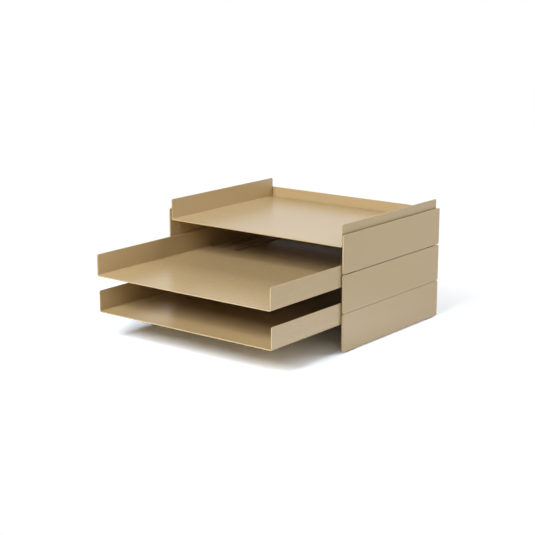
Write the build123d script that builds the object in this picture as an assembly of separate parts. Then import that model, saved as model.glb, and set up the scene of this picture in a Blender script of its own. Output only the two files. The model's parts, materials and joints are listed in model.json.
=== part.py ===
# Desktop document organizer: three stacked sheet-metal frames, each with a sliding paper tray.
# Millimetres. +Z is up, the trays pull out along -Y, and X runs from the left side to the right.
# The origin is on the desk, below the middle of the whole object with its trays as photographed.
# Every frame is two side panels joined by a shelf and a back panel of their own height. The tray
# lies on the shelf, stops short of the back panel when it is shut, and is held down by two headed
# slides in the shelf's slots, so that it stays level when it is pulled out.

from build123d import *
import os

os.makedirs("parts", exist_ok=True)

# Frame
stack_width = 320.0
frame_depth = 254.0
panel_height = 55.5
panel_sheet = 2.0
panel_corner = 3.0
panel_edge_round = 0.4

# Stack: the lower two frames all but touch, and the upper one stands on pads
foot_height = 1.0
lower_seam = 0.35
upper_seam = 1.1

# Tray, one sheet bent up at both sides and open at the front and the back
tray_sheet = 1.5
tray_flange_height = 32.0
tray_bend = 1.2
tray_flange_corner = 2.5
tray_edge_round = 0.3
tray_side_clearance = 1.4
tray_back_clearance = 0.8
tray_set_back = 1.5
tray_rise = 37.5
lowest_tray_lift = 2.4

# Travel of a tray from shut, and how far short of its stop each one is in the photographed pose
tray_travel = 165.0
lower_tray_short = 8.0
middle_tray_short = 5.5

# Shelf under the tray
shelf_sheet = 1.5
shelf_set_back = 12.0
shelf_side_clearance = 0.5
shelf_corner = 4.0

# Back panel, between the side panels and a little lower than they are
back_sheet = 1.5
back_inset = 3.0
back_bottom_gap = 0.6
back_top_gap = 0.6
back_corner = 1.5
back_edge_round = 0.3

# Angle brackets that carry the shelf
bracket_leg = 10.0
bracket_sheet = 1.5
bracket_bend = 0.8
bracket_end_gap = 18.0

# Low-friction strips that the tray slides on
strip_thickness = 0.8
strip_width = 10.0
strip_corner = 2.5
strip_end_gap = 20.0
strip_inset = 8.0

# Headed slides: a stud under the tray, a flanged bush in the slot and a lock nut
slide_spacing = 220.0
slide_from_back = 26.0
stud_diameter = 4.0
stud_bore_clearance = 0.1
stud_end = 0.8
bush_neck_diameter = 7.4
bush_head_diameter = 16.0
bush_head_thickness = 1.2
bush_running_gap = 0.3
slot_side_clearance = 0.3
nut_across_flats = 7.0
nut_thickness = 3.2

# Long tongues behind the seams that keep one frame above the next
tongue_height = 14.0
tongue_thickness = 0.9
tongue_corner = 2.0
tongue_end_gap = 20.0

# Pads in the upper seam and feet, near the front and back ends of the side panels
support_from_end = 22.0
pad_length = 16.0
pad_inset = 0.3
foot_length = 22.0
foot_leg_height = 6.0
foot_leg_thickness = 0.9
foot_round = 0.3

# Places that follow from the sizes above
panel_inner_x = stack_width / 2 - panel_sheet
tray_outer_x = panel_inner_x - tray_side_clearance
tray_inner_x = tray_outer_x - tray_sheet
tray_depth = frame_depth - tray_set_back - back_inset - back_sheet - tray_back_clearance
lower_tray_pull = tray_travel - lower_tray_short
middle_tray_pull = tray_travel - middle_tray_short
upper_tray_pull = 0.0
object_depth = frame_depth + max(lower_tray_pull, middle_tray_pull) - tray_set_back
frame_front_y = object_depth / 2 - frame_depth
frame_back_y = frame_front_y + frame_depth
frame_middle_y = (frame_front_y + frame_back_y) / 2
shut_tray_front_y = frame_front_y + tray_set_back
shelf_front_y = frame_front_y + shelf_set_back
shelf_back_y = frame_back_y - back_inset - back_sheet
shelf_middle_y = (shelf_front_y + shelf_back_y) / 2
slot_width = bush_neck_diameter + 2 * slot_side_clearance
slide_shut_y = frame_back_y - slide_from_back

# Each frame: name, height of its panels' bottom edge, height of its tray's underside, pull
lower_base = foot_height
middle_base = lower_base + panel_height + lower_seam
upper_base = middle_base + panel_height + upper_seam
modules = [
    ("lower", lower_base, lower_base + tray_rise + lowest_tray_lift, lower_tray_pull),
    ("middle", middle_base, middle_base + tray_rise, middle_tray_pull),
    ("upper", upper_base, upper_base + tray_rise, upper_tray_pull),
]
sides = [("left", -1), ("right", 1)]


def block(low, high):
    """Axis-aligned block between two opposite corners."""
    size = [b - a for a, b in zip(low, high)]
    middle = [(a + b) / 2 for a, b in zip(low, high)]
    return Pos(*middle) * Box(*size)


def mirrored(side, shape):
    """The shape as made for the right side, or its mirror image for the left."""
    return shape if side > 0 else mirror(shape, about=Plane.YZ)


def side_panel(side, base_z):
    """Flat sheet on edge, with rounded corners and softened edges."""
    outline = RectangleRounded(frame_depth, panel_height, panel_corner)
    panel = extrude(Plane.YZ * outline, panel_sheet)
    panel = fillet(panel.edges(), panel_edge_round)
    return mirrored(side, Pos(panel_inner_x, frame_middle_y, base_z + panel_height / 2) * panel)


def bent_u(half_width, height, sheet, bend, length):
    """Channel that opens upwards, drawn in XZ and running back from Y = 0."""
    outer = Pos(0, height / 2) * Rectangle(2 * half_width, height)
    inner = Pos(0, height / 2 + sheet) * Rectangle(2 * (half_width - sheet), height)
    outer = fillet(outer.vertices().group_by(Axis.Y)[0], bend + sheet)
    inner = fillet(inner.vertices().group_by(Axis.Y)[0], bend)
    return extrude(Plane.XZ * (outer - inner), -length)


def tray():
    """Bent sheet tray with its front edge at Y = 0 and its underside at Z = 0."""
    body = bent_u(tray_outer_x, tray_flange_height, tray_sheet, tray_bend, tray_depth)
    flange_corners = body.edges().filter_by(Axis.X).group_by(Axis.Z)[-1]
    body = fillet(flange_corners, tray_flange_corner)
    lengthwise = body.edges().filter_by(Axis.Y)
    bend_lines = lengthwise - lengthwise.group_by(Axis.Z)[-1]
    corner_seams = body.edges().filter_by(Axis.X).filter_by(lambda edge: edge.length < 2 * tray_sheet)
    return fillet(body.edges() - bend_lines - corner_seams, tray_edge_round)


def shelf(tray_z):
    """Flat shelf under the tray, with one slot for each headed slide."""
    half_width = panel_inner_x - shelf_side_clearance
    underside_z = tray_z - strip_thickness - shelf_sheet
    outline = Rectangle(2 * half_width, shelf_back_y - shelf_front_y)
    outline = fillet(outline.vertices().group_by(Axis.Y)[0], shelf_corner)
    for _, side in sides:
        slot = SlotCenterToCenter(tray_travel, slot_width, rotation=90)
        slot_middle_y = slide_shut_y - tray_travel / 2 - shelf_middle_y
        outline -= Pos(side * slide_spacing / 2, slot_middle_y) * slot
    return Pos(0, shelf_middle_y, underside_z) * extrude(outline, shelf_sheet)


def back_panel(base_z):
    """Flat sheet behind the shelf, with rounded corners and softened edges."""
    half_width = panel_inner_x - shelf_side_clearance
    height = panel_height - back_bottom_gap - back_top_gap
    panel = extrude(Plane.XZ * RectangleRounded(2 * half_width, height, back_corner), -back_sheet)
    panel = fillet(panel.edges(), back_edge_round)
    return Pos(0, shelf_back_y, base_z + back_bottom_gap + height / 2) * panel


def shelf_bracket(side, tray_z):
    """Bent angle fixed to the panel's inner face, with its level leg under the shelf."""
    top_z = tray_z - strip_thickness - shelf_sheet
    corner = (Align.MAX, Align.MAX)
    outer = Rectangle(bracket_leg, bracket_leg, align=corner)
    outer = fillet(outer.vertices().sort_by(Axis.X)[-2:].sort_by(Axis.Y)[-1], bracket_bend + bracket_sheet)
    inner = Pos(-bracket_sheet, -bracket_sheet) * Rectangle(bracket_leg, bracket_leg, align=corner)
    inner = fillet(inner.vertices().sort_by(Axis.X)[-2:].sort_by(Axis.Y)[-1], bracket_bend)
    length = frame_depth - 2 * bracket_end_gap
    angle = extrude(Plane.XZ * (outer - inner), -length)
    return mirrored(side, Pos(panel_inner_x, frame_front_y + bracket_end_gap, top_z) * angle)


def glide_strip(side, tray_z):
    """Thin strip on the shelf, near the side of the tray that slides on it."""
    centre_x = side * (tray_inner_x - strip_inset - strip_width / 2)
    length = shelf_back_y - shelf_front_y - 2 * strip_end_gap
    outline = RectangleRounded(strip_width, length, strip_corner)
    return Pos(centre_x, shelf_middle_y, tray_z - strip_thickness) * extrude(outline, strip_thickness)


def ring(outer_radius, bore_radius, low_z, high_z):
    """Plain collar about the Z axis."""
    return Pos(0, 0, low_z) * extrude(Circle(outer_radius) - Circle(bore_radius), high_z - low_z)


def headed_slide():
    """Stud, bush and nut below Z = 0, the tray's underside. Returns the three solids."""
    neck_low = -(strip_thickness + shelf_sheet + bush_running_gap)
    head_low = neck_low - bush_head_thickness
    nut_low = head_low - nut_thickness
    stud_radius = stud_diameter / 2
    bore_radius = stud_radius + stud_bore_clearance
    stud = Pos(0, 0, nut_low - stud_end) * extrude(Circle(stud_radius), stud_end - nut_low)
    bush = ring(bush_neck_diameter / 2, bore_radius, neck_low, 0)
    bush += ring(bush_head_diameter / 2, bore_radius, head_low, neck_low)
    hexagon = RegularPolygon(nut_across_flats / 2, 6, major_radius=False) - Circle(bore_radius)
    nut = Pos(0, 0, nut_low) * extrude(hexagon, nut_thickness)
    return stud, bush, nut


def stack_tongue(side, seam_z):
    """Long flat tongue behind a seam, on the inner faces of the panels above and below it."""
    outline = RectangleRounded(frame_depth - 2 * tongue_end_gap, tongue_height, tongue_corner)
    tongue = extrude(Plane.YZ * outline, -tongue_thickness)
    return mirrored(side, Pos(panel_inner_x, frame_middle_y, seam_z) * tongue)


def seam_pad(side, low_z, height, end_y):
    """Small pad between the edges of two panels."""
    outer_x = panel_inner_x + panel_sheet - panel_edge_round - pad_inset
    inner_x = panel_inner_x + pad_inset
    low = (inner_x, end_y - pad_length / 2, low_z)
    high = (outer_x, end_y + pad_length / 2, low_z + height)
    return mirrored(side, block(low, high))


def foot(side, end_y):
    """Clip-on foot: a sole under the panel's edge and a leg up its inner face."""
    low_y = end_y - foot_length / 2
    high_y = end_y + foot_length / 2
    inner_x = panel_inner_x - foot_leg_thickness
    outer_x = panel_inner_x + panel_sheet - panel_edge_round
    sole = block((inner_x, low_y, 0), (outer_x, high_y, foot_height))
    leg = block((inner_x, low_y, 0), (panel_inner_x, high_y, foot_height + foot_leg_height))
    shape = sole + leg
    ends = shape.edges().filter_by(Axis.X).group_by(Axis.Z)[-1]
    return mirrored(side, fillet(ends, foot_round))


def save(name, shape):
    """Write one named piece, or one group of like pieces, to its own file."""
    solids = shape if isinstance(shape, list) else [shape]
    solids = [one for item in solids for one in item.solids()]
    piece = solids[0] if len(solids) == 1 else Compound(children=solids)
    piece.label = name
    export_step(piece, os.path.join("parts", name + ".step"))


# Frames, trays and what the trays slide on
for name, base_z, tray_z, pull in modules:
    for side_name, side in sides:
        save(f"{name}_panel_{side_name}", side_panel(side, base_z))
        save(f"{name}_bracket_{side_name}", shelf_bracket(side, tray_z))
        save(f"{name}_glide_strip_{side_name}", glide_strip(side, tray_z))
    save(f"{name}_shelf", shelf(tray_z))
    save(f"{name}_back_panel", back_panel(base_z))
    save(f"{name}_tray", Pos(0, shut_tray_front_y - pull, tray_z) * tray())
    places = [Pos(side * slide_spacing / 2, slide_shut_y - pull, tray_z) for _, side in sides]
    for part_name, part in zip(("slide_studs", "slide_bushes", "lock_nuts"), headed_slide()):
        save(f"{name}_{part_name}", [place * part for place in places])

# What keeps one frame above the next, and what the stack stands on
seams = [("lower", middle_base, lower_seam), ("upper", upper_base, upper_seam)]
for name, seam_top_z, seam in seams:
    save(f"{name}_tongues", [stack_tongue(side, seam_top_z - seam / 2) for _, side in sides])
end_places = (frame_front_y + support_from_end, frame_back_y - support_from_end)
pads = [seam_pad(side, upper_base - upper_seam, upper_seam, y) for _, side in sides for y in end_places]
save("upper_seam_pads", pads)
save("feet", [foot(side, end_y) for _, side in sides for end_y in end_places])
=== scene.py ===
"""Desktop document organizer: finishes, floor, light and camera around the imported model."""
import json
from math import cos, radians, sin

import bpy
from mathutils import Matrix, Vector

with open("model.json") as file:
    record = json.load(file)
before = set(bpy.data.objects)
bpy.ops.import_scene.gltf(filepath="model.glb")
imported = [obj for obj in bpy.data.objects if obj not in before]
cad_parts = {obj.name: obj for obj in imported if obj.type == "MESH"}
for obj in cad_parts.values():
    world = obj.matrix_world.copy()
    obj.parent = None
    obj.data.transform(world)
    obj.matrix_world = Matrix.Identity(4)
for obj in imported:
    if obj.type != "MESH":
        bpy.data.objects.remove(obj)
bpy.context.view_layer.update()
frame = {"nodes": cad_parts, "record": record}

# Camera of the photograph: place in metres, turn and pitch in degrees, sensor and lens in millimetres
CAMERA_PLACE = (1.16436, -1.50406, 0.54508)
CAMERA_PITCH = 13.4106
CAMERA_TURN = 37.9673
SENSOR_WIDTH = 36.0
CAMERA_LENS = 89.098

# Large soft lamps round the object: name, turn from the front towards the right and height above
# the horizon in degrees, width in metres and power in watts
LAMPS = (
    ("front_lamp", 0.0, 38.0, 1.0, 47.0),
    ("side_lamp", 60.0, 30.0, 1.4, 5.0),
    ("rear_lamp", 155.0, 33.0, 2.2, 34.0),
)
LAMP_DISTANCE = 2.0
LAMP_AIM = (0.0, 0.0, 0.09)

# White surroundings, for the camera and in reflections, where 1 is plain white
WHITE = 1.0

# Floor, in metres and linear colours: its own tone as it lights the object, half of its tone as it is
# seen, and the distances from a point below the pulled-out trays where what is seen fades to painted
# white, which covers the object's own shadow further away, behind and beside the object too
FLOOR_SIZE = 8.0
FLOOR_BOUNCE = 0.92
FLOOR_SEEN = (0.63, 0.675, 0.74)
FLOOR_FADE = (0.32, 0.52)
FADE_CENTRE = (0.0, -0.13, 0.0)

# Noise: detail and roughness of the tone and of the grain, and the factors that are spread to a range
TONE_DETAIL = 3.0
TONE_ROUGHNESS = 0.5
GRAIN_DETAIL = 2.0
GRAIN_ROUGHNESS = 0.6
NOISE_LOW = 0.3
NOISE_HIGH = 0.7

# Finishes: linear colour, share by which its tone changes and the scale of that change per metre,
# lowest and highest roughness, then scale per metre, strength and depth in metres of the grain, and
# where they aren't plain, the refractive index or the share of metal
PLAIN_IOR = 1.5
SAND_PAINT = {
    "colour": (0.50, 0.37, 0.195),
    "change": 0.02,
    "tone_scale": 1600.0,
    "roughness": (0.26, 0.28),
    "grain_scale": 2000.0,
    "grain_strength": 0.03,
    "grain_depth": 0.00002,
    "ior": 1.65,
}
BLACK_NYLON = {
    "colour": (0.022, 0.021, 0.020),
    "change": 0.1,
    "tone_scale": 60.0,
    "roughness": (0.5, 0.6),
    "grain_scale": 1500.0,
    "grain_strength": 0.3,
    "grain_depth": 0.00008,
}
SAND_NYLON = {
    "colour": (0.38, 0.29, 0.16),
    "change": 0.04,
    "tone_scale": 60.0,
    "roughness": (0.55, 0.65),
    "grain_scale": 1500.0,
    "grain_strength": 0.3,
    "grain_depth": 0.00008,
}
ZINC_PLATE = {
    "colour": (0.42, 0.42, 0.43),
    "change": 0.08,
    "tone_scale": 120.0,
    "roughness": (0.28, 0.42),
    "grain_scale": 2500.0,
    "grain_strength": 0.2,
    "grain_depth": 0.00004,
    "metallic": 1.0,
}
BLACK_RUBBER = {
    "colour": (0.018, 0.018, 0.018),
    "change": 0.1,
    "tone_scale": 80.0,
    "roughness": (0.7, 0.85),
    "grain_scale": 1800.0,
    "grain_strength": 0.4,
    "grain_depth": 0.0001,
}
FINISHES = {
    "frame_paint": SAND_PAINT,
    "tray_paint": SAND_PAINT,
    "nylon": BLACK_NYLON,
    "strip_nylon": SAND_NYLON,
    "zinc_steel": ZINC_PLATE,
    "rubber": BLACK_RUBBER,
}


def linear_rgba(colour):
    """Colour of a shader socket."""
    return (colour[0], colour[1], colour[2], 1.0)


def new_material(name):
    """Empty node material with its output node."""
    material = bpy.data.materials.new(name)
    material.use_nodes = True
    tree = material.node_tree
    tree.nodes.clear()
    output = tree.nodes.new("ShaderNodeOutputMaterial")
    return material, tree, output


def noise(tree, coordinates, scale, detail, roughness):
    """Noise texture in object coordinates. Returns its factor socket."""
    texture = tree.nodes.new("ShaderNodeTexNoise")
    texture.inputs["Scale"].default_value = scale
    texture.inputs["Detail"].default_value = detail
    texture.inputs["Roughness"].default_value = roughness
    tree.links.new(coordinates, texture.inputs["Vector"])
    return texture.outputs["Fac"]


def spread(tree, factor, low, high):
    """Map a noise factor onto a range of plain values."""
    node = tree.nodes.new("ShaderNodeMapRange")
    node.inputs["From Min"].default_value = NOISE_LOW
    node.inputs["From Max"].default_value = NOISE_HIGH
    node.inputs["To Min"].default_value = low
    node.inputs["To Max"].default_value = high
    tree.links.new(factor, node.inputs["Value"])
    return node.outputs["Result"]


def tinted(tree, factor, colour, change):
    """The colour, made lighter and darker by a small share along the factor."""
    mix = tree.nodes.new("ShaderNodeMix")
    mix.data_type = "RGBA"
    mix.inputs["A"].default_value = linear_rgba([c * (1 - change) for c in colour])
    mix.inputs["B"].default_value = linear_rgba([c * (1 + change) for c in colour])
    tree.links.new(factor, mix.inputs["Factor"])
    return mix.outputs["Result"]


def bump(tree, height, strength, distance):
    """Normal socket of a surface whose height varies slightly."""
    node = tree.nodes.new("ShaderNodeBump")
    node.inputs["Strength"].default_value = strength
    node.inputs["Distance"].default_value = distance
    tree.links.new(height, node.inputs["Height"])
    return node.outputs["Normal"]


def finish(name, colour, change, tone_scale, roughness, grain_scale, grain_strength, grain_depth,
           metallic=0.0, ior=PLAIN_IOR):
    """Surface with a slightly uneven tone and gloss and a fine grain."""
    material, tree, output = new_material(name)
    coordinates = tree.nodes.new("ShaderNodeTexCoord").outputs["Object"]
    shader = tree.nodes.new("ShaderNodeBsdfPrincipled")
    shader.inputs["Metallic"].default_value = metallic
    shader.inputs["IOR"].default_value = ior
    tone = noise(tree, coordinates, tone_scale, TONE_DETAIL, TONE_ROUGHNESS)
    grain = noise(tree, coordinates, grain_scale, GRAIN_DETAIL, GRAIN_ROUGHNESS)
    tree.links.new(tinted(tree, tone, colour, change), shader.inputs["Base Color"])
    tree.links.new(spread(tree, tone, roughness[0], roughness[1]), shader.inputs["Roughness"])
    tree.links.new(bump(tree, grain, grain_strength, grain_depth), shader.inputs["Normal"])
    tree.links.new(shader.outputs["BSDF"], output.inputs["Surface"])
    return material


def finishes():
    """One material for each slot of the record."""
    return {name: finish(name, **values) for name, values in FINISHES.items()}


def dress_nodes(materials):
    """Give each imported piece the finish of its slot."""
    for part in frame["record"]["subparts"]:
        mesh = frame["nodes"][part["node"]].data
        mesh.materials.clear()
        mesh.materials.append(materials[part["material_slot"]])


def seen_directly(tree):
    """1 for camera, glossy and transmission rays, else 0."""
    path = tree.nodes.new("ShaderNodeLightPath")
    total = path.outputs["Is Camera Ray"]
    for name in ("Is Glossy Ray", "Is Transmission Ray"):
        either = tree.nodes.new("ShaderNodeMath")
        either.operation = "MAXIMUM"
        tree.links.new(total, either.inputs[0])
        tree.links.new(path.outputs[name], either.inputs[1])
        total = either.outputs[0]
    return total


def diffuse(tree, colour):
    """Matt shader of one colour."""
    shader = tree.nodes.new("ShaderNodeBsdfDiffuse")
    shader.inputs["Color"].default_value = linear_rgba(colour)
    return shader.outputs["BSDF"]


def white_glow(tree):
    """White as it is seen, whatever the light."""
    shader = tree.nodes.new("ShaderNodeEmission")
    shader.inputs["Strength"].default_value = WHITE
    return shader.outputs["Emission"]


def blended(tree, factor, first, second):
    """First shader where the factor is 0 and second where it is 1."""
    node = tree.nodes.new("ShaderNodeMixShader")
    tree.links.new(factor, node.inputs["Fac"])
    tree.links.new(first, node.inputs[1])
    tree.links.new(second, node.inputs[2])
    return node.outputs["Shader"]


def away_from_middle(tree):
    """0 near the middle of the fade and 1 beyond it."""
    place = tree.nodes.new("ShaderNodeTexCoord").outputs["Object"]
    distance = tree.nodes.new("ShaderNodeVectorMath")
    distance.operation = "DISTANCE"
    distance.inputs[1].default_value = FADE_CENTRE
    tree.links.new(place, distance.inputs[0])
    fade = tree.nodes.new("ShaderNodeMapRange")
    fade.inputs["From Min"].default_value = FLOOR_FADE[0]
    fade.inputs["From Max"].default_value = FLOOR_FADE[1]
    tree.links.new(distance.outputs["Value"], fade.inputs["Value"])
    return fade.outputs["Result"]


def floor():
    """White floor that keeps the object's shadow below the trays, with painted white over it further
    away.
    """
    bpy.ops.mesh.primitive_plane_add(size=FLOOR_SIZE)
    plane = bpy.context.object
    plane.name = "floor"
    material, tree, output = new_material("floor")
    # Two matt shaders are added, so that the lit floor is white and the object's shadow stays on it
    lit = tree.nodes.new("ShaderNodeAddShader")
    for slot in (0, 1):
        tree.links.new(diffuse(tree, FLOOR_SEEN), lit.inputs[slot])
    # Beyond the fade the seen floor is painted white, over the object's own shadow there
    seen = blended(tree, away_from_middle(tree), lit.outputs["Shader"], white_glow(tree))
    bounced = diffuse(tree, (FLOOR_BOUNCE, FLOOR_BOUNCE, FLOOR_BOUNCE))
    tree.links.new(blended(tree, seen_directly(tree), bounced, seen), output.inputs["Surface"])
    plane.data.materials.append(material)


def background():
    """White where it is seen, and dark for the rest, so that the lamps alone light the object."""
    world = bpy.data.worlds.new("studio")
    bpy.context.scene.world = world
    world.use_nodes = True
    tree = world.node_tree
    tree.nodes.clear()
    output = tree.nodes.new("ShaderNodeOutputWorld")
    shade = tree.nodes.new("ShaderNodeBackground")
    shade.inputs["Color"].default_value = linear_rgba((1.0, 1.0, 1.0))
    strength = tree.nodes.new("ShaderNodeMath")
    strength.operation = "MULTIPLY"
    strength.inputs[1].default_value = WHITE
    tree.links.new(seen_directly(tree), strength.inputs[0])
    tree.links.new(strength.outputs["Value"], shade.inputs["Strength"])
    tree.links.new(shade.outputs["Background"], output.inputs["Surface"])


def lamp(name, turn, height, size, watts):
    """Square area lamp that points at the object from a turn and height in degrees."""
    light = bpy.data.lights.new(name, "AREA")
    light.shape = "SQUARE"
    light.size = size
    light.energy = watts
    thing = bpy.data.objects.new(name, light)
    bpy.context.scene.collection.objects.link(thing)
    level = cos(radians(height))
    way = Vector((level * sin(radians(turn)), -level * cos(radians(turn)), sin(radians(height))))
    thing.location = Vector(LAMP_AIM) + LAMP_DISTANCE * way
    thing.rotation_euler = way.to_track_quat("Z", "Y").to_euler()
    # In views from behind, the mirror image of a lamp would turn the upper tray white
    thing.visible_glossy = False


def camera():
    """The photograph's view."""
    lens = bpy.data.cameras.new("camera")
    lens.sensor_width = SENSOR_WIDTH
    lens.lens = CAMERA_LENS
    thing = bpy.data.objects.new("camera", lens)
    thing.location = CAMERA_PLACE
    thing.rotation_euler = (radians(90.0 - CAMERA_PITCH), 0.0, radians(CAMERA_TURN))
    bpy.context.scene.collection.objects.link(thing)
    bpy.context.scene.camera = thing


dress_nodes(finishes())
floor()
background()
for settings in LAMPS:
    lamp(*settings)
camera()
bpy.context.scene.view_settings.view_transform = "Standard"
